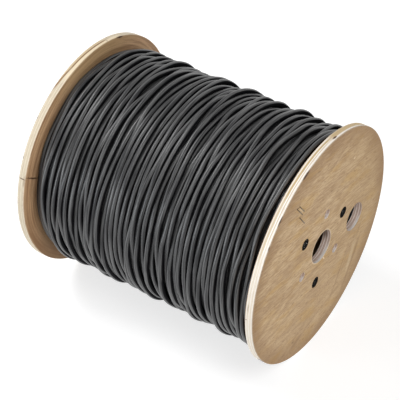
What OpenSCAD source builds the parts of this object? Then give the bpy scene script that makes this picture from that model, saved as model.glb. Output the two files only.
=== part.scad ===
// Wooden cable drum, wound with rubber-sheathed cable.
// Two drilled plywood flanges are clamped on a fibreboard barrel by tie rods with nuts at both ends.
// The drum lies on its flange rims: X runs along its axis, Z is up and Z = 0 is the floor.
// The near end is at +X. Angles go round the axis, from +Y towards +Z.

/* [Flanges] */
// Diameter of each flange
flange_d = 450; // [400:5:600]
// Thickness of the plywood
flange_t = 15; // [14:0.5:24]
// Arris taken off each rim edge
rim_arris = 1; // [0.5:0.25:2.5]
// Diameter of the spindle bore
spindle_bore_d = 64; // [40:1:90]

/* [Barrel] */
// Traverse: the clear width between the two flanges
traverse = 467; // [250:1:700]
// Outer diameter of the barrel tube
barrel_d = 180; // [170:1:240]
// Wall of the barrel tube
barrel_wall = 5; // [3:0.5:8]
// Depth of the groove in each flange that seats the barrel
groove_depth = 4; // [2:0.5:5]

/* [Cable lead hole] */
// Diameter of the hole that the inner end of the cable leaves by
lead_hole_d = 56; // [20:1:70]
// Wood left between the barrel and the lead hole
lead_hole_gap = 2; // [1:0.5:10]
// Angle of the lead hole round the axis
lead_hole_angle = -9; // [-30:1:0]

/* [Tie rods] */
// Number of tie rods, and of spare bolt holes between them
tie_count = 3; // [3:1:4]
// Diameter of a tie rod
tie_rod_d = 10; // [6:1:12]
// Gap between the tie rods and the inside of the barrel
tie_rod_gap = 2.5; // [1:0.5:6]
// Angle of the first tie rod round the axis
tie_angle = 19.5; // [15:0.5:30]
// Chamfer on each rod end
rod_chamfer = 1; // [0.5:0.25:2]
// Diameter of the counterbore round each nut
counterbore_d = 22; // [22:0.5:26]
// Diameter of a washer
washer_d = 20; // [16:0.5:21]
// Thickness of a washer
washer_t = 2; // [1:0.25:2.5]
// Size of a hexagon nut across its flats
nut_flats = 17; // [15:0.5:18]
// Height of a nut
nut_t = 5; // [4:0.5:5.5]
// How far a nut lies below the flange's face
nut_recess = 0.5; // [0.25:0.25:1]

/* [Spare bolt holes] */
// Diameter of a spare bolt hole
spare_hole_d = 18; // [10:1:20]
// How far the spare holes lie inside the circle of the tie rods
spare_hole_inset = 9.5; // [0:0.5:12]

/* [Cable] */
// Diameter of the cable
cable_d = 10; // [6:0.5:20]
// Freeboard: how far the flange rims stand above the winding
freeboard = 20; // [5:1:50]
// Share of the cable's diameter that each layer adds, as it beds into the one below
layer_nest = 0.9; // [0.86:0.01:0.98]
// Share of the cable's diameter that the furrow between two turns goes down
furrow_share = 0.35; // [0.2:0.05:0.45]

/* [Fits] */
// Clearance all round the barrel, in its grooves and in the winding
barrel_gap = 0.2; // [0.1:0.05:0.4]
// Clearance all round a tie rod in its flange hole
rod_hole_gap = 0.5; // [0.25:0.25:1]
// Clearance all round a tie rod in its washer
washer_gap = 0.25; // [0.1:0.05:0.5]
// Clearance all round a tie rod in its nut
thread_gap = 0.1; // [0.05:0.05:0.2]
// Least gap between two turns side by side
turn_gap = 0.15; // [0.1:0.05:0.4]

/* [Hidden] */
overall_l = traverse + 2 * flange_t;
axis_height = flange_d / 2;
barrel_r = barrel_d / 2;
barrel_bore_r = barrel_r - barrel_wall;
barrel_l = traverse + 2 * groove_depth;
lead_hole_r = barrel_r + lead_hole_gap + lead_hole_d / 2;
tie_r = barrel_bore_r - tie_rod_gap - tie_rod_d / 2;
tie_step = 360 / tie_count;
rod_l = overall_l - 2 * nut_recess;
counterbore_depth = washer_t + nut_t + nut_recess;
washer_seat = overall_l / 2 - counterbore_depth;
spare_r = tie_r - spare_hole_inset;
nut_corners = nut_flats / cos(30);
// Share of the nut's flats that its turned top face keeps, and the slope of the bevel round it
nut_top_share = 0.95;
nut_bevel_angle = 30;
// A cut goes this far past the face that it opens
cut_past = 1;

// The winding: turns side by side across the traverse, in layers out from the barrel
winding_r = flange_d / 2 - freeboard;
winding_bore_r = barrel_r + barrel_gap;
top_layer_r = winding_r - cable_d / 2;
turn_count = floor(traverse / (cable_d + turn_gap));
turn_pitch = traverse / turn_count;
layer_count = floor((top_layer_r - winding_bore_r) / (cable_d * layer_nest) + 0.5);
layer_pitch = (top_layer_r - winding_bore_r) / (layer_count - 0.5);
function turn_place(turn) = (turn + 0.5) * turn_pitch - traverse / 2;
function layer_r(layer) = winding_bore_r + (layer + 0.5) * layer_pitch;

TIE_PIECES = ["tie_rod", "near_washer", "near_nut", "far_washer", "far_nut"];

$fn = 96;

// Everything below is built round Z, with the near end up, and this lays it along the drum's axis
module on_axis() {
    translate([0, 0, axis_height])
        rotate([0, 90, 0])
            children();
}

// Places a shape at a radius and angle round the axis
module around(radius, angle) {
    rotate([0, 0, angle])
        translate([0, radius, 0])
            children();
}

// The places of the tie rods, and those of the spare holes halfway between them
module at_tie(i) {
    around(tie_r, tie_angle + (i - 1) * tie_step)
        children();
}

module at_spare(i) {
    around(spare_r, tie_angle + (i - 0.5) * tie_step)
        children();
}

// A round hole right through a flange
module flange_hole(diameter) {
    translate([0, 0, traverse / 2 - cut_past])
        cylinder(d = diameter, h = flange_t + 2 * cut_past);
}

// The disc that a flange is cut from, with both rim edges eased
module flange_disc() {
    edge_r = flange_d / 2;
    translate([0, 0, traverse / 2])
        rotate_extrude()
            polygon([
                [0, 0],
                [edge_r - rim_arris, 0],
                [edge_r, rim_arris],
                [edge_r, flange_t - rim_arris],
                [edge_r - rim_arris, flange_t],
                [0, flange_t]
            ]);
}

// The ring-shaped seat of the barrel in a flange's inner face
module barrel_groove() {
    translate([0, 0, traverse / 2 - cut_past])
        difference() {
            cylinder(r = barrel_r + barrel_gap, h = groove_depth + cut_past);
            translate([0, 0, -cut_past])
                cylinder(r = barrel_bore_r - barrel_gap, h = groove_depth + 3 * cut_past);
        }
}

module flange() {
    color("burlywood")
        difference() {
            flange_disc();
            barrel_groove();
            flange_hole(spindle_bore_d);
            around(lead_hole_r, lead_hole_angle)
                flange_hole(lead_hole_d);
            for (i = [1:tie_count]) {
                at_tie(i)
                    flange_hole(tie_rod_d + 2 * rod_hole_gap);
                at_tie(i)
                    translate([0, 0, washer_seat])
                        cylinder(d = counterbore_d, h = counterbore_depth + cut_past);
                at_spare(i)
                    flange_hole(spare_hole_d);
            }
        }
}

module barrel() {
    color("peru")
        difference() {
            cylinder(r = barrel_r, h = barrel_l, center = true);
            cylinder(r = barrel_bore_r, h = barrel_l + 2 * cut_past, center = true);
        }
}

module tie_rod() {
    color("silver")
        rotate_extrude()
            polygon([
                [0, -rod_l / 2],
                [tie_rod_d / 2 - rod_chamfer, -rod_l / 2],
                [tie_rod_d / 2, -rod_l / 2 + rod_chamfer],
                [tie_rod_d / 2, rod_l / 2 - rod_chamfer],
                [tie_rod_d / 2 - rod_chamfer, rod_l / 2],
                [0, rod_l / 2]
            ]);
}

module washer() {
    color("dimgray")
        translate([0, 0, washer_seat])
            difference() {
                cylinder(d = washer_d, h = washer_t);
                translate([0, 0, -cut_past])
                    cylinder(d = tie_rod_d + 2 * washer_gap, h = washer_t + 2 * cut_past);
            }
}

// The turned outline that bevels a nut's top corners
module nut_turning() {
    top_r = nut_top_share * nut_flats / 2;
    outer_r = nut_corners / 2 + cut_past;
    bevel_h = (outer_r - top_r) * tan(nut_bevel_angle);
    rotate_extrude()
        polygon([
            [0, -cut_past],
            [outer_r, -cut_past],
            [outer_r, nut_t - bevel_h],
            [top_r, nut_t],
            [0, nut_t]
        ]);
}

module nut() {
    color("dimgray")
        translate([0, 0, washer_seat + washer_t])
            difference() {
                intersection() {
                    cylinder(d = nut_corners, h = nut_t, $fn = 6);
                    nut_turning();
                }
                translate([0, 0, -cut_past])
                    cylinder(d = tie_rod_d + 2 * thread_gap, h = nut_t + 2 * cut_past);
            }
}

// Section of the winding: its top layer stops one turn short of each flange,
// and the end turns of the layers below show on both ends
module winding_section() {
    first = turn_place(0);
    second = turn_place(1);
    lower_top_r = layer_r(layer_count - 2);
    furrow_r = winding_r - furrow_share * cable_d;
    translate([0, first])
        square([lower_top_r, -2 * first]);
    translate([0, second])
        square([furrow_r, -2 * second]);
    for (turn = [1:turn_count - 2])
        translate([top_layer_r, turn_place(turn)])
            circle(d = cable_d);
    for (layer = [0:layer_count - 2], side = [-1, 1])
        translate([layer_r(layer), side * first])
            circle(d = cable_d);
}

module cable_winding() {
    color("dimgray")
        difference() {
            rotate_extrude()
                winding_section();
            cylinder(r = winding_bore_r, h = overall_l, center = true);
        }
}

on_axis() flange();  // near_flange
on_axis() mirror([0, 0, 1]) flange();  // far_flange
on_axis() barrel();
on_axis() cable_winding();
for (i = [1:tie_count]) {
    on_axis() at_tie(i) tie_rod();
    on_axis() at_tie(i) washer();
    on_axis() at_tie(i) nut();
    on_axis() mirror([0, 0, 1]) at_tie(i) washer();
    on_axis() mirror([0, 0, 1]) at_tie(i) nut();
}
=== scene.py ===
"""Looks of a wooden cable drum: bare plywood flanges, black nuts and a loose winding of rubber cable.

Everything is in metres, in the frame of the CAD model: X along the drum's axis, Z up from the floor.
Angles go round the axis, from straight up towards -Y, the side that the camera sees.
"""

import math

import bpy
import numpy as np
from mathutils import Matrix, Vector


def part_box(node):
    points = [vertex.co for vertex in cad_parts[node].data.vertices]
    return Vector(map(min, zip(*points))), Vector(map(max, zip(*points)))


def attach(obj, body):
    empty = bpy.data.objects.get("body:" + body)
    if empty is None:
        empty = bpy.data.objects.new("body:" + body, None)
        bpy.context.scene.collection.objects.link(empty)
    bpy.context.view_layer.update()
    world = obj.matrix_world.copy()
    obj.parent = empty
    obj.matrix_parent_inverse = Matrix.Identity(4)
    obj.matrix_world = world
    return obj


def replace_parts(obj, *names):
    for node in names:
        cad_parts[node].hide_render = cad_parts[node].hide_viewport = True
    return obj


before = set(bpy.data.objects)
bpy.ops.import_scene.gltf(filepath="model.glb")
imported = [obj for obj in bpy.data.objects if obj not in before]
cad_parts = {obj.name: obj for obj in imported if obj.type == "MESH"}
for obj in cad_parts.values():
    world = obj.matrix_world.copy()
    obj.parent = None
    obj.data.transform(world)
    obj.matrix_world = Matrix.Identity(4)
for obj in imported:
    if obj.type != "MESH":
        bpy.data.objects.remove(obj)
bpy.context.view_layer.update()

# Sizes of the drum, from the frame
MM = 0.001
flange_low, flange_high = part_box("near_flange")
AXIS_Z = (flange_low.z + flange_high.z) / 2
FLANGE_R = flange_high.z - AXIS_Z
FACE_X = flange_high.x
INNER_X = flange_low.x
FLANGE_T = FACE_X - INNER_X
WINDING_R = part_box("cable_winding")[1].z - AXIS_Z
BARREL_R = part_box("barrel")[1].z - AXIS_Z
BORE_R = 32 * MM

# The tie rods: how many there are, and the angle of the first one
tie_low, tie_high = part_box("tie_rod_1")
TIE_COUNT = sum(name.startswith("tie_rod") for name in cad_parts)
TIE_ANGLE = math.atan2(-(tie_low.y + tie_high.y) / 2, (tie_low.z + tie_high.z) / 2 - AXIS_Z)


# Meshes

def around(angle, radius, x=0.0):
    """A point at an angle and a distance from the drum's axis."""
    return Vector((x, -radius * math.sin(angle), AXIS_Z + radius * math.cos(angle)))


def on_face(x, y, z):
    """A point on a flange's face at x, with the other two given in millimetres from the drum's axis."""
    return Vector((x, y * MM, AXIS_Z + z * MM))


def add_piece(mesh, material):
    """Puts a finished mesh into the scene as a piece that rides on the drum."""
    piece = bpy.data.objects.new(mesh.name, mesh)
    bpy.context.scene.collection.objects.link(piece)
    mesh.materials.append(material)
    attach(piece, "root")
    return piece


def grid_mesh(name, points, close_columns=False):
    """A smooth mesh of quads from a grid of points, rows by columns by three."""
    rows, columns = points.shape[:2]
    index = np.arange(rows * columns).reshape(rows, columns)
    if close_columns:
        index = np.hstack([index, index[:, :1]])
    corners = [index[:-1, :-1], index[:-1, 1:], index[1:, 1:], index[1:, :-1]]
    quads = np.stack(corners, -1).reshape(-1, 4)
    mesh = bpy.data.meshes.new(name)
    mesh.vertices.add(rows * columns)
    mesh.vertices.foreach_set("co", points.astype(np.float32).ravel())
    mesh.loops.add(quads.size)
    mesh.loops.foreach_set("vertex_index", quads.astype(np.int32).ravel())
    mesh.polygons.add(len(quads))
    mesh.polygons.foreach_set("loop_start", np.arange(0, quads.size, 4, dtype=np.int32))
    mesh.polygons.foreach_set("use_smooth", np.ones(len(quads), dtype=bool))
    mesh.update()
    mesh.validate()
    return mesh


# Materials

def screen(red, green, blue):
    """A colour as it looks on screen, from 0 to 255, as the linear value that shaders use."""
    def linear(level):
        level = level / 255
        return level / 12.92 if level <= 0.04045 else ((level + 0.055) / 1.055) ** 2.4
    return (linear(red), linear(green), linear(blue), 1.0)


class Finish:
    """A material's node tree, with short calls for the nodes that the finishes use."""

    def __init__(self, name):
        self.material = bpy.data.materials.new(name)
        self.material.use_nodes = True
        self.tree = self.material.node_tree
        self.tree.nodes.clear()
        self.place = self.add("TexCoord").outputs["Object"]

    def add(self, kind, inputs=None, **settings):
        """A node, with its settings and with a value or a link for each input that is named."""
        node = self.tree.nodes.new("ShaderNode" + kind)
        for key, value in settings.items():
            setattr(node, key, value)
        for key, value in (inputs or {}).items():
            if isinstance(value, bpy.types.NodeSocket):
                self.tree.links.new(value, node.inputs[key])
            else:
                node.inputs[key].default_value = value
        return node

    def math(self, operation, a, b=0.0):
        return self.add("Math", {0: a, 1: b}, operation=operation).outputs[0]

    def split(self, vector):
        return self.add("SeparateXYZ", {0: vector}).outputs

    def moved(self, vector, move=(0, 0, 0), turn=(0, 0, 0), size=(1, 1, 1), kind="POINT"):
        """The place vector, moved, turned and scaled."""
        inputs = {"Vector": vector, "Location": move, "Rotation": turn, "Scale": size}
        return self.add("Mapping", inputs, vector_type=kind).outputs[0]

    def noise(self, vector, scale=1.0, detail=3.0, roughness=0.55, distortion=0.0):
        inputs = {
            "Vector": vector,
            "Scale": scale,
            "Detail": detail,
            "Roughness": roughness,
            "Distortion": distortion,
        }
        return self.add("TexNoise", inputs).outputs["Fac"]

    def step(self, value, low, high, top=1.0):
        """0 at low, rising smoothly to the top value at high."""
        inputs = {"Value": value, "From Min": low, "From Max": high, "To Max": top}
        return self.add("MapRange", inputs, interpolation_type="SMOOTHSTEP").outputs[0]

    def mix(self, factor, low, high):
        """Goes from one colour to another."""
        return self.add("Mix", {0: factor, 6: low, 7: high}, data_type="RGBA").outputs[2]

    def ramp(self, factor, stops):
        """Goes through a list of colours, each at its own place from 0 to 1."""
        node = self.add("ValToRGB", {"Fac": factor})
        elements = node.color_ramp.elements
        while len(elements) < len(stops):
            elements.new(0.5)
        for element, (position, colour) in zip(elements, stops):
            element.position = position
            element.color = colour
        return node.outputs["Color"]

    def spot(self, tone, colour, vector, centre, half, turn=0.0, amount=1.0, soft=0.5):
        """A soft-edged spot of another colour, its half sizes given along X, Y and Z and turned about X."""
        local = self.moved(vector, centre, (turn, 0, 0), half, "TEXTURE")
        reach = self.add("VectorMath", {0: local}, operation="LENGTH").outputs["Value"]
        return self.mix(self.step(reach, 1.0, soft, amount), tone, colour)

    def bump(self, height, distance, strength=1.0):
        return self.add("Bump", {"Height": height, "Distance": distance, "Strength": strength}).outputs[0]

    def surface(self, **sockets):
        """The shader itself. Names follow its sockets, with underscores for spaces."""
        inputs = {key.replace("_", " "): value for key, value in sockets.items()}
        shader = self.add("BsdfPrincipled", inputs).outputs[0]
        self.add("OutputMaterial", {"Surface": shader})
        return self.material


# Colours of the plywood: its faces, its marks, the walls of its holes and its inner faces
PALE = screen(203, 176, 140)
TAN = screen(171, 140, 101)
BROWN = screen(132, 98, 64)
DARK = screen(80, 54, 36)
GOLD = screen(184, 146, 82)
CREAM = screen(240, 222, 190)
STRAW = screen(196, 168, 118)
HONEY = screen(166, 136, 92)
WHITE = screen(255, 251, 246)
WALL_PALE = screen(252, 236, 226)
WALL_TAN = screen(218, 190, 172)
WALL_GLUE = screen(120, 88, 70)
# Painted shade low on the near rim's underside
RIM_PAINTED_SHADE = screen(104, 96, 124)
# Painted shade for the counterbore walls round the nuts
COUNTERBORE_PAINTED_SHADE = screen(34, 29, 26)
INNER_TAN = screen(220, 180, 138)
INNER_BROWN = screen(172, 130, 94)

# Tilt of the fibres and of the growth bands on the faces
GRAIN_TURN = math.radians(12)
BAND_TURN = math.radians(-56)

# The plies, and the shares of the thickness that a face ply and a glue line's half take
PLY_COUNT = 7
FACE_PLY = 0.08
GLUE_LINE = 0.008

# Band inside the rim where the faces darken, and where the walls of the holes begin
RIM_BAND = 30 * MM

# Marks on the near face: Y and Z in mm from the axis, half length and half width, tilt, colour and amount
NEAR_FACE_MARKS = [
    (75, -125, 78, 5, 58, BROWN, 0.35),
    (100, -95, 70, 4, 58, PALE, 0.3),
    (114, -145, 72, 6, 58, BROWN, 0.4),
    (135, -78, 60, 5, 62, BROWN, 0.3),
    (20, 157, 70, 4, 24, PALE, 0.3),
    (40, 172, 70, 4, 18, BROWN, 0.25),
    (-40, 135, 34, 3, 40, PALE, 0.3),
    (-83, -170, 6, 3, 0, DARK, 0.6),
    (-70, -178, 26, 12, 10, BROWN, 0.4),
    (100, 132, 7, 2, 0, CREAM, 0.7),
    (-69, 211, 14, 1.8, 18, DARK, 0.9),
    (-26, 189, 6, 1.5, -12, DARK, 0.6),
    (-145, 126, 5, 1.5, -12, DARK, 0.6),
    (-184, 80, 5, 1.5, 60, DARK, 0.5),
    (24, 111, 6, 1, -12, DARK, 0.5),
    (-40, -76, 14, 1.2, -8, GOLD, 0.9),
    (-31, -48, 12, 1.5, -8, GOLD, 0.5),
    (-20, -119, 16, 2, -8, GOLD, 0.5),
    (-109, 72, 20, 3, -8, GOLD, 0.4),
    (-14, 72, 22, 3, -8, GOLD, 0.5),
    (89, -90, 16, 2, 50, GOLD, 0.6),
    (12, -37, 7, 2, -60, CREAM, 0.9),
    (-80, 145, 15, 3.5, -53, CREAM, 0.35),
    (118, -113, 50, 10, 66, CREAM, 0.24),
    (137, -107, 46, 7, 64, BROWN, 0.32),
    (95, -108, 42, 6, 62, BROWN, 0.26),
    (64, -62, 38, 6, 61, BROWN, 0.22),
    (-91, 157, 7, 2.2, -10, DARK, 0.8),
]

# The crack in the far flange's inner face, given in the same way
FAR_FACE_MARKS = [
    (-194, 65, 28, 2.4, -36, DARK, 1.0),
]

# Lines along the rims: from and to angles, depths in mm from the outer face there, half width,
# colour and amount
NEAR_RIM_LINES = [
    (-60, -3, 9.0, 9.0, 7.0, STRAW, 0.85),
    (-8, 34, 9.0, 10.2, 2.6, STRAW, 0.9),
    (26, 62, 10.2, 11.0, 2.4, STRAW, 0.5),
    (-4, 60, 7.0, 7.0, 1.4, WHITE, 0.7),
    (-4, 52, 5.4, 5.4, 0.9, STRAW, 0.6),
    (-30, 70, 3.6, 3.6, 1.4, WHITE, 0.65),
]
FAR_RIM_LINES = [
    (-24, 24, 11.0, 11.0, 4.5, CREAM, 0.8),
    (-12, 26, 3.0, 3.0, 3.2, STRAW, 0.5),
    (-14, 18, 7.6, 6.2, 1.9, BROWN, 1.0),
    (12, 30, 6.4, 0.8, 1.9, BROWN, 1.0),
    (16, 62, 15.0, 15.0, 1.0, BROWN, 0.8),
]

# Marks on the rims: angle, X in mm, half sizes along X and along the rim, colour and amount
NEAR_RIM_MARKS = [
    (-7.5, 243.6, 2.4, 9, DARK, 1.0),
    (18, 248.2, 2.0, 16, DARK, 0.9),
    (41, 247.8, 1.3, 12, DARK, 0.9),
    (53, 247.8, 1.2, 6, DARK, 0.8),
    (89, 236.0, 2.5, 1.0, BROWN, 1.0),
    # Painted shade: a dark bluish patch low on the near rim, on its underside.
    (125, 243.0, 7.0, 10, RIM_PAINTED_SHADE, 0.9),
]
FAR_RIM_MARKS = [
    (-20, -233.8, 2.2, 14, DARK, 1.0),
    (-11, -237.0, 3.0, 1.2, DARK, 0.8),
    (42, -247.5, 1.5, 5, DARK, 0.7),
    (61, -247.5, 1.5, 5, DARK, 0.7),
    (71, -241.0, 9.0, 1.5, DARK, 0.9),
    (72, -236.5, 2.2, 16, BROWN, 0.5),
    (84, -247.8, 1.2, 6, BROWN, 0.8),
]


def ply_stops(light, dark, glue):
    """Colour stops across the plywood's edge: plies light and dark by turns, with glue lines between."""
    inner = (1 - 2 * FACE_PLY) / (PLY_COUNT - 2)
    edges = [0] + [FACE_PLY + inner * i for i in range(PLY_COUNT - 1)] + [1]
    stops = []
    for i in range(PLY_COUNT):
        tone = light if i % 2 else dark
        stops += [(edges[i] + GLUE_LINE, tone), (edges[i + 1] - 2 * GLUE_LINE, tone)]
        if i < PLY_COUNT - 1:
            stops.append((edges[i + 1], glue))
    return stops


def veneer(f, radius, y, above):
    """The flat faces: fine fibres along the grain, growth bands and patches of colour."""
    along = f.moved(f.place, turn=(GRAIN_TURN, 0, 0))
    fibres = f.noise(f.moved(along, size=(20, 30, 330)), 1.0, 4.0, 0.65)
    pores = f.noise(f.moved(along, move=(5, 2, 1), size=(20, 70, 560)), 1.0, 2.0, 0.6)
    flecks = f.noise(f.moved(along, move=(1, 7, 4), size=(20, 140, 560)), 1.0, 2.0, 0.6)
    patches = f.noise(f.moved(along, size=(4, 9, 14)), 1.0, 4.0, 0.62)
    swell = f.noise(f.moved(f.place, (2, 0, 5), (BAND_TURN, 0, 0), (2, 3, 12)), 1.0, 1.5, 0.5)
    bands = f.math("SINE", f.math("MULTIPLY", swell, 45.0))
    gold = f.noise(f.moved(along, move=(3, 1, 2), size=(4, 11, 40)), 1.0, 3.0, 0.6)
    mottle = f.step(f.noise(f.moved(along, size=(20, 260, 420)), 1.0, 3.0, 0.7), 0.3, 0.7)
    tone = f.mix(f.step(fibres, 0.36, 0.64), TAN, PALE)
    tone = f.mix(f.step(above, 0.0, -0.16, 0.55), tone, f.mix(mottle, TAN, PALE))
    tone = f.mix(f.step(bands, -0.4, 1.0, 0.22), tone, BROWN)
    tone = f.mix(f.step(patches, 0.42, 0.72, 0.26), tone, BROWN)
    tone = f.mix(f.step(gold, 0.48, 0.7, 0.55), tone, GOLD)
    tone = f.mix(f.step(y, -0.02, 0.21, 0.4), tone, HONEY)
    tone = f.mix(f.step(pores, 0.58, 0.68, 0.7), tone, BROWN)
    tone = f.mix(f.step(flecks, 0.58, 0.72, 0.45), tone, PALE)
    # Painted highlight: a pale cream ring along the edge of the bore.
    tone = f.mix(f.step(radius, BORE_R + 3 * MM, BORE_R + 1 * MM, 0.4), tone, CREAM)
    rim = f.math("ADD", radius, f.math("MULTIPLY", patches, RIM_BAND))
    return f.mix(f.step(rim, FLANGE_R - RIM_BAND, FLANGE_R + 20 * MM, 0.55), tone, BROWN), fibres


def rim_line(f, tone, depth, angle, line):
    """A line of another colour along the rim, faded out at both ends."""
    start, end, first, last, half, colour, amount = line
    start, end = math.radians(start), math.radians(end)
    turn = {"Value": angle, "From Min": start, "From Max": end, "To Min": first * MM, "To Max": last * MM}
    middle = f.add("MapRange", turn).outputs[0]
    across = f.math("ABSOLUTE", f.math("SUBTRACT", depth, middle))
    along = f.math("ABSOLUTE", f.math("SUBTRACT", angle, (start + end) / 2))
    reach = (end - start) / 2
    in_width = f.step(across, half * MM, 0.4 * half * MM)
    in_length = f.step(along, reach, reach - 0.1, amount)
    return f.mix(f.math("MULTIPLY", in_width, in_length), tone, colour)


def hole_wall(f, share, depth, radius, angle, facing_up, fibres):
    """The walls of the holes: painted light at an upward-facing mouth, painted shade deep in the bore and
    round the nuts.
    """
    wall = f.ramp(share, ply_stops(WALL_TAN, WALL_PALE, WALL_GLUE))
    wall = f.mix(f.step(fibres, 0.5, 0.75, 0.6), wall, WALL_GLUE)
    in_bore = f.step(radius, BORE_R + 13 * MM, BORE_R + 6 * MM)
    # Painted shade: dark deep in the bore where the wall does not face up.
    deep = f.math("MULTIPLY", f.step(depth, 3 * MM, 9 * MM, 0.75), f.step(facing_up, 0.6, -0.1))
    wall = f.mix(f.math("MULTIPLY", deep, in_bore), wall, DARK)
    # Painted light: near white near the mouth where the wall faces up.
    mouth = f.math("MULTIPLY", f.step(depth, 4.5 * MM, 2.5 * MM, 0.85), f.step(facing_up, 0.3, 0.9))
    wall = f.mix(mouth, wall, WHITE)
    # Painted shade: near black on the counterbore walls round the nuts.
    turn = f.math("MULTIPLY", f.math("SUBTRACT", angle, TIE_ANGLE), float(TIE_COUNT))
    past_bore = f.step(radius, BARREL_R - 35 * MM, BARREL_R - 30 * MM)
    in_barrel = f.step(radius, BARREL_R + 1 * MM, BARREL_R)
    nut_painted_shade = f.math("MULTIPLY", f.step(f.math("COSINE", turn), 0.2, 0.5), past_bore)
    return f.mix(f.math("MULTIPLY", nut_painted_shade, in_barrel), wall, COUNTERBORE_PAINTED_SHADE)


def ply_edge(f, depth, radius, angle, facing_up, stops, lines):
    """The rim and the walls of the holes: stacked plies, a little wavy, with short dark fibres along them."""
    wave = f.math("SUBTRACT", f.noise(f.place, 14.0, 2.0), 0.5)
    wavy = f.math("ADD", depth, f.math("MULTIPLY", wave, 1.8 * MM))
    share = f.math("DIVIDE", wavy, FLANGE_T)
    fibres = f.noise(f.moved(f.place, size=(900, 60, 60)), 1.0, 2.0, 0.6)
    blots = f.noise(f.moved(f.place, size=(300, 24, 24)), 1.0, 3.0, 0.6)
    tone = f.ramp(share, stops)
    for line in lines:
        tone = rim_line(f, tone, wavy, angle, line)
    tone = f.mix(f.step(fibres, 0.5, 0.75, 0.35), tone, stops[2][1])
    tone = f.mix(f.step(blots, 0.62, 0.72, 0.5), tone, BROWN)
    in_hole = f.step(radius, FLANGE_R - RIM_BAND, FLANGE_R - RIM_BAND - 20 * MM)
    return f.mix(in_hole, tone, hole_wall(f, share, depth, radius, angle, facing_up, fibres)), fibres


def inner_veneer(f, radius, y, above):
    """The inner faces: browner, with streaks where the cable has rubbed round the drum."""
    polar = f.add("CombineXYZ", {
        0: f.math("MULTIPLY", radius, 170.0),
        1: f.math("MULTIPLY", y, 8.0),
        2: f.math("MULTIPLY", above, 8.0),
    }).outputs[0]
    streaks = f.noise(polar, 1.0, 4.0, 0.65)
    specks = f.noise(f.moved(f.place, size=(20, 420, 420)), 1.0, 2.0, 0.6)
    tone = f.mix(f.step(streaks, 0.36, 0.66), INNER_TAN, INNER_BROWN)
    tone = f.mix(f.step(specks, 0.55, 0.7, 0.4), tone, INNER_BROWN)
    # Painted shade browns the lower part of the inner face, and painted light makes its top paler straw.
    tone = f.mix(f.step(above, 0.06, -0.16, 0.6), tone, BROWN)
    return f.mix(f.step(above, 0.16, 0.22, 0.4), tone, STRAW)


def plywood(name, plies, face_x, face_marks, rim_lines, rim_marks):
    """Bare plywood of one flange, with its own marks on one face and on the rim."""
    f = Finish(name)
    x, y, z = f.split(f.place)
    above = f.math("SUBTRACT", z, AXIS_Z)
    square = f.math("ADD", f.math("MULTIPLY", y, y), f.math("MULTIPLY", above, above))
    radius = f.math("POWER", square, 0.5)
    depth = f.math("SUBTRACT", FACE_X, f.math("ABSOLUTE", x))
    angle = f.math("ARCTAN2", f.math("MULTIPLY", y, -1.0), above)
    normal = f.split(f.add("NewGeometry").outputs["Normal"])
    is_face = f.step(f.math("ABSOLUTE", normal[0]), 0.55, 0.8)
    is_inner = f.step(depth, 0.4 * FLANGE_T, 0.6 * FLANGE_T)
    face, fibres = veneer(f, radius, y, above)
    edge, edge_fibres = ply_edge(f, depth, radius, angle, normal[2], ply_stops(*plies), rim_lines)
    tone = f.mix(is_face, edge, f.mix(is_inner, face, inner_veneer(f, radius, y, above)))

    wobble = f.add("TexNoise", {"Vector": f.place, "Scale": 160.0, "Detail": 2.0}).outputs["Color"]
    shake = f.add("VectorMath", {0: wobble, 1: (0.5, 0.5, 0.5)}, operation="SUBTRACT").outputs[0]
    reach = (0, 3 * MM, 3 * MM)
    ragged = f.add("VectorMath", {0: shake, 1: reach, 2: f.place}, operation="MULTIPLY_ADD").outputs[0]
    for at_y, at_z, half_length, half_width, tilt, colour, amount in face_marks:
        centre = on_face(face_x, at_y, at_z)
        half = (2 * MM, half_length * MM, half_width * MM)
        tone = f.spot(tone, colour, ragged, centre, half, math.radians(tilt), amount, 0.2)
    for at_angle, at_x, half_x, half_arc, colour, amount in rim_marks:
        turn = math.radians(at_angle)
        centre = around(turn, FLANGE_R, at_x * MM)
        half = (half_x * MM, half_arc * MM, 4 * MM)
        tone = f.spot(tone, colour, ragged, centre, half, turn, amount, 0.4)

    return f.surface(
        Base_Color=tone,
        Roughness=f.math("ADD", 0.55, f.math("MULTIPLY", fibres, 0.2)),
        Specular_IOR_Level=0.3,
        Normal=f.bump(f.math("ADD", fibres, f.math("MULTIPLY", edge_fibres, 0.6)), 0.25 * MM, 0.6),
    )


# Colours of the sheath: its own black, pale streaks that are partly wear and partly painted highlight lines,
# and dust; then painted shade for the furrows, and a lighter painted floor light for the lowest furrows.
SHEATH = screen(33, 33, 35)
SHEATH_WEAR_AND_HIGHLIGHT = screen(88, 88, 88)
SHEATH_DUST = screen(90, 90, 88)
FURROW_PAINTED_SHADE = screen(25, 25, 27)
FURROW_PAINTED_FLOOR_LIGHT = screen(48, 48, 50)


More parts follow.
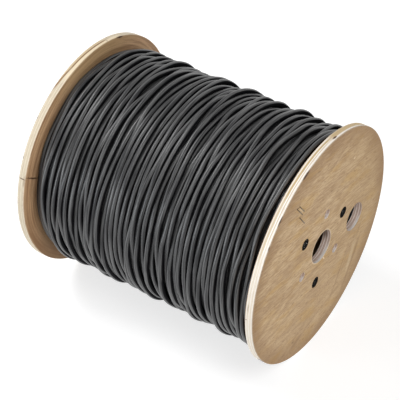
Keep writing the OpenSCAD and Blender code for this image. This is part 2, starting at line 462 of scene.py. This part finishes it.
def rubber():
    """Cable sheath: a little shiny outside on each turn, with pale streaks that are partly wear and partly
    painted highlight lines; black and dull in the furrows, which is painted shade, lifted low down by painted
    floor light.
    """
    f = Finish("rubber_sheath")
    x, y, z = f.split(f.place)
    above = f.math("SUBTRACT", z, AXIS_Z)
    out = f.add("VectorMath", {0: f.add("CombineXYZ", {1: y, 2: above}).outputs[0]}, operation="NORMALIZE")
    normal = f.add("NewGeometry").outputs["Normal"]
    facing = f.add("VectorMath", {0: normal, 1: out.outputs[0]}, operation="DOT_PRODUCT").outputs["Value"]
    along = f.add("CombineXYZ", {
        0: f.math("MULTIPLY", x, 520.0),
        1: f.math("MULTIPLY", f.math("ARCTAN2", y, above), 2.0),
    }).outputs[0]
    streaks = f.noise(along, 1.0, 3.0, 0.6)
    patches = f.noise(f.place, 22.0, 4.0, 0.6)
    grain = f.noise(f.place, 900.0, 3.0, 0.6)
    # Pale streaks along the cable: partly wear, partly painted highlight lines.
    outside = f.mix(f.step(streaks, 0.42, 0.58), SHEATH, SHEATH_WEAR_AND_HIGHLIGHT)
    outside = f.mix(f.step(patches, 0.45, 0.75, 0.15), outside, SHEATH_DUST)
    # Painted shade in the furrows, lifted towards the bottom by painted floor light.
    painted_furrow_shade = f.mix(f.step(above, 0.04, -0.14), FURROW_PAINTED_SHADE, FURROW_PAINTED_FLOOR_LIGHT)
    # Where the sheath turns away from the outside of the drum, it takes the painted furrow shade.
    shade_and_glint_mask = f.math("ADD", facing, f.math("MULTIPLY", streaks, 0.12))
    return f.surface(
        Base_Color=f.mix(f.step(shade_and_glint_mask, 0.55, 0.85), painted_furrow_shade, outside),
        Roughness=f.math("ADD", 0.26, f.math("MULTIPLY", streaks, 0.16)),
        Specular_IOR_Level=f.step(shade_and_glint_mask, 0.6, 0.9, 0.35),
        Normal=f.bump(grain, 0.06 * MM, 0.5),
    )


def black_steel():
    """Blackened nuts and washers, with painted glints as small near-white specks."""
    f = Finish("black_steel")
    speck_noise = f.noise(f.place, 300.0, 2.0, 0.6)
    # Painted glints: small near-white specks in the base colour.
    shade_and_glint_mask = f.step(speck_noise, 0.66, 0.69)
    return f.surface(
        Base_Color=f.mix(shade_and_glint_mask, screen(9, 9, 9), screen(214, 212, 208)),
        Roughness=f.math("ADD", 0.45, f.math("MULTIPLY", speck_noise, 0.3)),
        Specular_IOR_Level=0.01,
        Normal=f.bump(speck_noise, 0.3 * MM, 0.5),
    )


THREAD_PITCH = 1.5 * MM


def rod_steel():
    """Oiled black rod, with its thread as fine rings and dull metal on the end."""
    f = Finish("rod_steel")
    x = f.split(f.place)[0]
    thread = f.math("SINE", f.math("MULTIPLY", x, 2 * math.pi / THREAD_PITCH))
    grime = f.noise(f.place, 380.0, 3.0)
    return f.surface(
        Base_Color=f.mix(f.step(grime, 0.45, 0.7), screen(14, 13, 12), screen(60, 58, 55)),
        Roughness=0.6,
        Specular_IOR_Level=0.02,
        Normal=f.bump(thread, 0.3 * MM, 0.7),
    )


def fibreboard():
    """Brown wound board of the barrel."""
    f = Finish("fibreboard")
    fibres = f.noise(f.moved(f.place, size=(60, 20, 20)), 1.0, 4.0, 0.6)
    return f.surface(
        Base_Color=f.mix(fibres, screen(96, 74, 52), screen(140, 110, 80)),
        Roughness=0.85,
        Normal=f.bump(fibres, 0.3 * MM, 0.5),
    )


def staple_wire():
    """Dull zinc-coated wire, browned with age."""
    f = Finish("staple_wire")
    stain = f.noise(f.place, 300.0, 3.0)
    return f.surface(
        Base_Color=f.mix(f.step(stain, 0.35, 0.65), screen(70, 56, 40), screen(120, 104, 80)),
        Metallic=0.4,
        Roughness=0.5,
    )


def dress_nodes():
    """Gives each CAD piece that shows its finish."""
    near_plies = (screen(246, 238, 226), screen(236, 224, 206), screen(204, 178, 148))
    far_plies = (screen(220, 208, 186), screen(208, 194, 170), screen(176, 154, 124))
    steel, rods = black_steel(), rod_steel()
    finishes = {
        "near_flange": plywood(
            "plywood_near", near_plies, FACE_X, NEAR_FACE_MARKS, NEAR_RIM_LINES, NEAR_RIM_MARKS
        ),
        "far_flange": plywood(
            "plywood_far", far_plies, -INNER_X, FAR_FACE_MARKS, FAR_RIM_LINES, FAR_RIM_MARKS
        ),
        "barrel": fibreboard(),
    }
    for name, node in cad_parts.items():
        if "nut" in name or "washer" in name:
            finishes[name] = steel
        if "tie_rod" in name:
            finishes[name] = rods
        if name in finishes:
            node.material_slots[0].material = finishes[name]


# The winding

# The cable, the turns of its outer layer and how finely it is made
CABLE_D = 10 * MM
TURNS = 47
STATIONS = 144
SIDES = 14
CORE_SIDES = 120

# Where the middle of the cable lies in the outer layer, and the gap that it keeps from a flange
START_ANGLE = math.radians(215)
END_GAP = 0.3 * MM
MIDDLE_R = WINDING_R - 5 * MM
LOWEST_R = WINDING_R - 10 * MM
HIGHEST_R = WINDING_R + 1 * MM
LEAST_SPACING = 0.55 * CABLE_D

# How far the turns stray: slowly and quickly along the drum, and the same in height
WANDER = 1.5 * MM
SWAY = 4 * MM
SWELL = 2.6 * MM
WEAVE = 1.4 * MM

# How far the layer drops at each end, over what length, and how far it hangs down towards the near end
NEAR_DROP, NEAR_DROP_LENGTH = 2.5 * MM, 16 * MM
FAR_DROP, FAR_DROP_LENGTH = 8 * MM, 26 * MM
SAG, SAG_START = 5 * MM, 0.3

# How the turns are made tight: steps with and without a pull back to the path, and the share of that pull
LAY_STEPS = 120
SETTLE_STEPS = 12
PULL = 0.08
SEED = 11

# Shares of the cable's diameter: how far layers lie apart, and how deep the outer one beds in
LAYER_NEST = 0.9
BEDDING = 0.75

# The lay of the cores inside the sheath, and how far it shows on the outside
CORE_LAY = 110 * MM
CORE_RELIEF = 0.012


def ripple(rng, across, fewest, most):
    """A smooth random field of about unit size, over the place along the drum and the angle round it."""
    count = 16
    rounds = rng.integers(fewest, most + 1, count) * rng.choice([-1, 1], count)
    pitch = rng.uniform(0.7, 1.3, count) * 2 * np.pi / across
    phase = rng.uniform(0, 2 * np.pi, count)

    def at(x, angle):
        parts = [np.cos(m * angle + p * x + q) for m, p, q in zip(rounds, pitch, phase)]
        return math.sqrt(2 / count) * np.sum(parts, axis=0)

    return at


def lay_cable():
    """The path of the outer layer, from the near flange to the far one.

    A helix that sways sideways, up and down is made tight: turns press on each other, keep their order and
    stay smooth along the cable. Returns the angle, place and radius at each station.
    """
    rng = np.random.default_rng(SEED)
    reach = INNER_X - CABLE_D / 2 - END_GAP
    pitch = 2 * reach / TURNS
    angle = START_ANGLE + np.arange(TURNS * STATIONS) * 2 * np.pi / STATIONS
    helix = np.linspace(reach, -reach, TURNS * STATIONS)
    wander = ripple(rng, 80 * MM, 1, 4)
    swell = ripple(rng, 60 * MM, 1, 3)
    sway = ripple(rng, 3 * pitch, 3, 9)
    weave = ripple(rng, 2.1 * pitch, 2, 8)
    wish = helix + WANDER * wander(helix, angle) + SWAY * sway(helix, angle)
    height = MIDDLE_R + SWELL * swell(helix, angle) + WEAVE * weave(helix, angle)
    height -= NEAR_DROP * np.clip((helix - reach) / NEAR_DROP_LENGTH + 1, 0, 1)
    height -= FAR_DROP * np.clip((-helix - reach) / FAR_DROP_LENGTH + 1, 0, 1)
    hang = np.clip((helix / reach - SAG_START) / (1 - SAG_START), 0, 1)
    height -= SAG * hang * np.cos(angle)
    lowest = np.minimum(LOWEST_R, height)
    place, radius = wish.copy(), height.copy()
    for step in range(LAY_STEPS + SETTLE_STEPS):
        if step < LAY_STEPS:
            place += PULL * (wish - place)
            radius += PULL * (height - radius)
        x, r = place.reshape(TURNS, STATIONS), radius.reshape(TURNS, STATIONS)
        side, up = x[:, None] - x[None], r[:, None] - r[None]
        gap = np.hypot(side, up)
        np.einsum("iij->ij", gap)[:] = CABLE_D
        push = 0.5 * np.clip(CABLE_D - gap, 0, None) / np.maximum(gap, 1e-6)
        x = x + (push * side).sum(1)
        r = r + (push * up).sum(1)
        crowd = np.clip(LEAST_SPACING + np.diff(x, axis=0), 0, None) / 2
        x[1:] -= crowd
        x[:-1] += crowd
        place = np.clip(x.ravel(), -reach, reach)
        radius = np.clip(r.ravel(), lowest, HIGHEST_R)
        for line in (place, radius):
            line[1:-1] += 0.5 * ((line[:-2] + line[2:]) / 2 - line[1:-1])
    return angle, place, radius


def cable_tube(name, angle, place, radius):
    """A round cable along a path, closed at both ends, with the faint twist of its cores on the sheath."""
    turn = np.arange(SIDES) * 2 * np.pi / SIDES
    length = np.arange(len(angle)) * 2 * np.pi / STATIONS * WINDING_R
    twist = 2 * np.pi * length / CORE_LAY
    ring = CABLE_D / 2 * (1 + CORE_RELIEF * np.cos(3 * (turn[None] - twist[:, None])))
    ring[[0, -1]] = 0.0
    ring[[1, -2]] *= 0.8
    out = radius[:, None] + ring * np.cos(turn)
    points = np.stack([
        place[:, None] + ring * np.sin(turn),
        -out * np.sin(angle)[:, None],
        AXIS_Z + out * np.cos(angle)[:, None],
    ], -1)
    return grid_mesh(name, points, close_columns=True)


def hidden_layers():
    """The layers under the outer one: a turned core with rounded turns on its outside and both ends."""
    half = CABLE_D / 2
    end = INNER_X - half - END_GAP
    pitch = 2 * end / math.floor(2 * end / CABLE_D)
    top = LOWEST_R - BEDDING * CABLE_D
    layers = np.arange(BARREL_R + half, top, LAYER_NEST * CABLE_D)
    bulge = np.linspace(-0.35, 0.35, 5) * np.pi
    section = [(end, BARREL_R)]
    for layer in layers:
        section += [(end + half * math.cos(a), layer + half * math.sin(a)) for a in bulge]
    for turn in np.arange(end, -end - pitch / 2, -pitch):
        section += [(turn - half * math.sin(a), top + half * math.cos(a)) for a in bulge]
    for layer in layers[::-1]:
        section += [(-end - half * math.cos(a), layer - half * math.sin(a)) for a in bulge]
    section.append((-end, BARREL_R))
    x, r = np.array(section).T[:, :, None]
    spin = np.arange(CORE_SIDES) * 2 * np.pi / CORE_SIDES
    points = np.stack([x + 0 * spin, -r * np.sin(spin), AXIS_Z + r * np.cos(spin)], -1)
    return grid_mesh("cable_hidden_layers", points, close_columns=True)


def wind_cable():
    """The cable on the drum: a core of hidden layers and the outer layer turn by turn."""
    sheath = rubber()
    for mesh in (hidden_layers(), cable_tube("cable_outer_layer", *lay_cable())):
        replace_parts(add_piece(mesh, sheath), "cable_winding")


# Staples left in the near face

# Y and Z of both ends of each crown, in mm from the axis
STAPLES = [((-95, 158), (-75, 131)), ((-87, 158), (-69, 134)), ((-85, 132), (-66, 105))]
STAPLE_WIDTH = 1.5 * MM
STAPLE_RISE = 0.4 * MM
STAPLE_LEG = 5 * MM
STAPLE_BEND = 0.8 * MM

# The flattened wire's section, in halves of its width
STAPLE_SECTION = [(1, -0.4), (1, 0.4), (0, 0.5), (-1, 0.4), (-1, -0.4), (0, -0.5)]


def drive_staples():
    """Bent wires with their legs in the wood and their crowns on the face."""
    wire = staple_wire()
    for number, (start, end) in enumerate(STAPLES, 1):
        first, last = on_face(FACE_X, *start), on_face(FACE_X, *end)
        run = (last - first).normalized()
        out = Vector((1, 0, 0))
        side = run.cross(out)
        rise = out * STAPLE_RISE
        path = [
            (first - out * STAPLE_LEG, run),
            (first - out * STAPLE_BEND, run),
            (first + rise + run * STAPLE_BEND, out),
            (last + rise - run * STAPLE_BEND, out),
            (last - out * STAPLE_BEND, -run),
            (last - out * STAPLE_LEG, -run),
        ]
        half = STAPLE_WIDTH / 2
        rings = []
        for centre, up in path:
            rings.append([centre + side * (a * half) + up * (b * half) for a, b in STAPLE_SECTION])
        mesh = grid_mesh(f"staple_{number}", np.array(rings), close_columns=True)
        add_piece(mesh, wire)


# Stage, light and camera

# The camera, fitted to the outlines of both flanges and to the holes in the photo
VIEW_AZIMUTH = math.radians(33.807)
VIEW_ELEVATION = math.radians(41.323)
VIEW_DISTANCE = 2.694
LENS = 133.56
SHIFT = (-0.0076, -0.0145)
SENSOR = 36

# Light from the sky, and the floor: its size, its white, and its own light as seen and as it lights the drum
SKY_LIGHT = 0.24
FLOOR_SIZE = 8
FLOOR_WHITE = 0.5
FLOOR_LIFT = 0.7
FLOOR_GLOW = 0.42

# Lamps, each aimed at the drum: name, place, size, power in watts and colour
LAMPS = [
    ("key_left", (-1.98, -0.32, 2.46), 1.2, 60, (1, 1, 1)),
    ("low_left", (-1.7, -2.4, 0.4), 1.2, 43, (0.9, 0.95, 1.0)),
    ("face_fill", (3.0, -0.2, 0.3), 1.0, 26, (1, 1, 1)),
    ("top_right", (1.65, -1.05, 2.5), 1.2, 26, (1, 1, 1)),
]


def seen_directly(tree):
    """1 where a ray comes from the camera or off something shiny or clear, 0 where it lights a surface."""
    rays = tree.nodes.new("ShaderNodeLightPath")
    value = rays.outputs["Is Camera Ray"]
    for name in ("Is Glossy Ray", "Is Transmission Ray"):
        larger = tree.nodes.new("ShaderNodeMath")
        larger.operation = "MAXIMUM"
        tree.links.new(value, larger.inputs[0])
        tree.links.new(rays.outputs[name], larger.inputs[1])
        value = larger.outputs[0]
    return value


def lay_floor():
    """A white floor that keeps the drum's shadow and looks as bright as the background."""
    bpy.ops.mesh.primitive_plane_add(size=FLOOR_SIZE)
    floor = bpy.context.object
    floor.name = "floor"
    white = Finish("floor_white")
    levels = {"Value": seen_directly(white.tree), "To Min": FLOOR_GLOW, "To Max": FLOOR_LIFT}
    lift = white.add("MapRange", levels)
    floor.data.materials.append(white.surface(
        Base_Color=(FLOOR_WHITE, FLOOR_WHITE, FLOOR_WHITE, 1),
        Roughness=0.9,
        Specular_IOR_Level=0.0,
        Emission_Color=(1, 1, 1, 1),
        Emission_Strength=lift.outputs[0],
    ))


def light_sky():
    """Even white light from all round."""
    world = bpy.data.worlds.new("sky")
    bpy.context.scene.world = world
    world.use_nodes = True
    tree = world.node_tree
    sky = tree.nodes["Background"]
    sky.inputs["Color"].default_value = (1, 1, 1, 1)
    level = tree.nodes.new("ShaderNodeMapRange")
    level.inputs["To Min"].default_value = SKY_LIGHT
    tree.links.new(seen_directly(tree), level.inputs["Value"])
    tree.links.new(level.outputs[0], sky.inputs["Strength"])


def aimed(thing, name, place):
    """Adds a lamp or camera that looks at the middle of the drum."""
    placed = bpy.data.objects.new(name, thing)
    placed.location = place
    placed.rotation_euler = (Vector((0, 0, AXIS_Z)) - Vector(place)).to_track_quat("-Z", "Y").to_euler()
    bpy.context.scene.collection.objects.link(placed)
    return placed


def add_lamp(name, place, size, power, colour):
    """A square lamp that shines on the drum."""
    lamp = bpy.data.lights.new(name, "AREA")
    lamp.size = size
    lamp.energy = power
    lamp.color = colour
    aimed(lamp, name, place)


def add_camera():
    """The photo's camera, looking at the middle of the drum."""
    camera = bpy.data.cameras.new("camera")
    camera.lens = LENS
    camera.sensor_width = SENSOR
    camera.shift_x, camera.shift_y = SHIFT
    flat = math.cos(VIEW_ELEVATION)
    across, along = math.sin(VIEW_AZIMUTH) * flat, -math.cos(VIEW_AZIMUTH) * flat
    back = Vector((across, along, math.sin(VIEW_ELEVATION)))
    bpy.context.scene.camera = aimed(camera, "camera", Vector((0, 0, AXIS_Z)) + back * VIEW_DISTANCE)


dress_nodes()
wind_cable()
drive_staples()
lay_floor()
light_sky()
for lamp_values in LAMPS:
    add_lamp(*lamp_values)
add_camera()
bpy.context.scene.view_settings.view_transform = "Standard"
